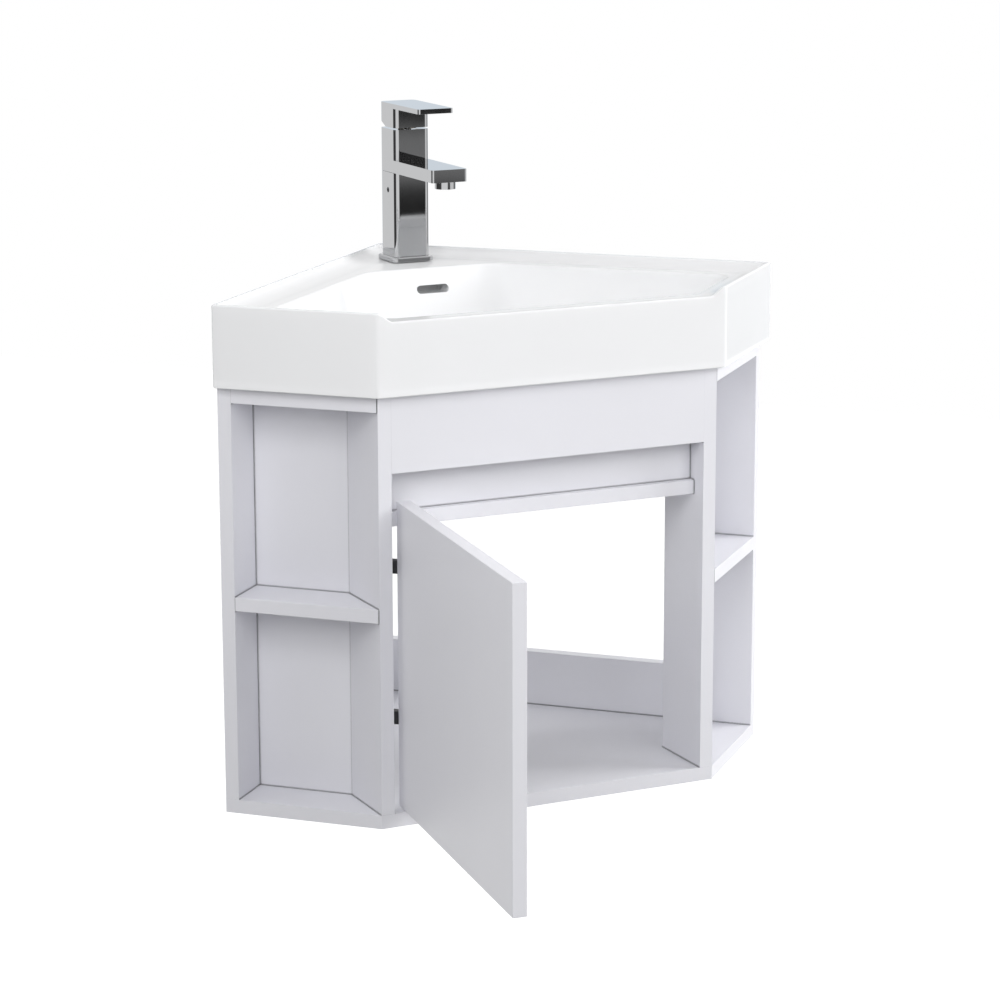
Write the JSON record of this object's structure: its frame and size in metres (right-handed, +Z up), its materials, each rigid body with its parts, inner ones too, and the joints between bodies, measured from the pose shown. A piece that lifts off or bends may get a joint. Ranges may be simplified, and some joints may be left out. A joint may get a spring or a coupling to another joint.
{
  "type": "corner vanity unit",
  "caption": "Wall-hung corner vanity: five-sided white cabinet with open side niches and a hinged door, ceramic corner basin, square lever tap and push waste.",
  "frame": {"origin": "the corner of the room at the cabinet's underside, where the planes of both walls meet", "axes": "+Z up; the left-hand wall is the plane x = 0 and the right-hand wall is y = 0; the unit fills x > 0, y < 0 and its front faces (1, -1, 0)"},
  "size_m": [0.5, 0.762, 0.766],
  "materials": {
    "laminate": "chipboard faced with pale grey-white satin laminate",
    "dowel_wood": "fluted beech dowels",
    "hinge_steel": "nickel-plated pressed steel",
    "hinge_black": "black-coated pressed steel",
    "clear_rubber": "clear soft buffer",
    "ceramic_white": "gloss white glaze",
    "tap_chrome": "mirror-polished chrome plate",
    "brass": "plain turned brass",
    "black_rubber": "black sealing rubber",
    "cartridge_plastic": "off-white acetal",
    "screw_steel": "stainless steel"
  },
  "bodies": {
    "cabinet": {"bottom_panel": "laminate", "left_wall_panel": "laminate", "right_wall_panel": "laminate", "left_divider": "laminate", "right_divider": "laminate", "left_niche_back": "laminate", "right_niche_back": "laminate", "left_niche_top": "laminate", "right_niche_top": "laminate", "left_shelf": "laminate", "right_shelf": "laminate", "fascia": "laminate", "channel_back": "laminate", "channel_rail": "laminate", "left_bottom_rail": "laminate", "right_bottom_rail": "laminate", "left_hanging_rail": "laminate", "right_hanging_rail": "laminate", "carcass_dowels": "dowel_wood", "bottom_screws": "hinge_steel", "hinge_plates": "hinge_steel", "hinge_plate_screws": "hinge_steel", "upper_hinge_arm": "hinge_black", "lower_hinge_arm": "hinge_black", "hinge_arm_screws": "hinge_steel", "basin": "ceramic_white", "waste_body": "tap_chrome", "waste_top_seal": "black_rubber", "waste_bottom_seal": "black_rubber", "waste_nut": "brass", "tap_gasket": "black_rubber", "tap_base_plate": "tap_chrome", "tap_column": "tap_chrome", "tap_head": "tap_chrome", "tap_aerator": "tap_chrome", "tap_cartridge": "cartridge_plastic", "cartridge_nut": "brass", "supply_pipes": "brass", "column_screw": "screw_steel", "tap_stud": "screw_steel", "tap_clamp_washer": "screw_steel", "tap_nut": "brass"},
    "door": {"door": "laminate", "upper_hinge_cup": "hinge_steel", "lower_hinge_cup": "hinge_steel", "hinge_cup_screws": "hinge_steel", "door_bumpers": "clear_rubber"},
    "waste_plug": {"waste_plug": "tap_chrome"},
    "tap_rotor": {"cartridge_rotor": "cartridge_plastic", "rotor_pin": "screw_steel"},
    "tap_lever": {"tap_handle": "tap_chrome", "cartridge_stem": "screw_steel", "handle_screw": "screw_steel"}
  },
  "joints": [
    {"name": "door_hinge", "type": "hinge", "parent": "cabinet", "child": "door", "pos_m": [0.20842, -0.46627, 0.205], "axis": [0, 0, 1], "range_deg": [-13.4, 96.6]},
    {"name": "plug_slide", "type": "slide", "parent": "cabinet", "child": "waste_plug", "axis": [0, 0, 1], "range_m": [0, 0.008]},
    {"name": "tap_turn", "type": "hinge", "parent": "cabinet", "child": "tap_rotor", "pos_m": [0.05819, -0.05819, 0.747], "axis": [0, 0, 1], "range_deg": [-45, 45]},
    {"name": "tap_lift", "type": "hinge", "parent": "tap_rotor", "child": "tap_lever", "pos_m": [0.05819, -0.05819, 0.747], "axis": [-0.7071, -0.7071, 0], "range_deg": [0, 24]}
  ]
}
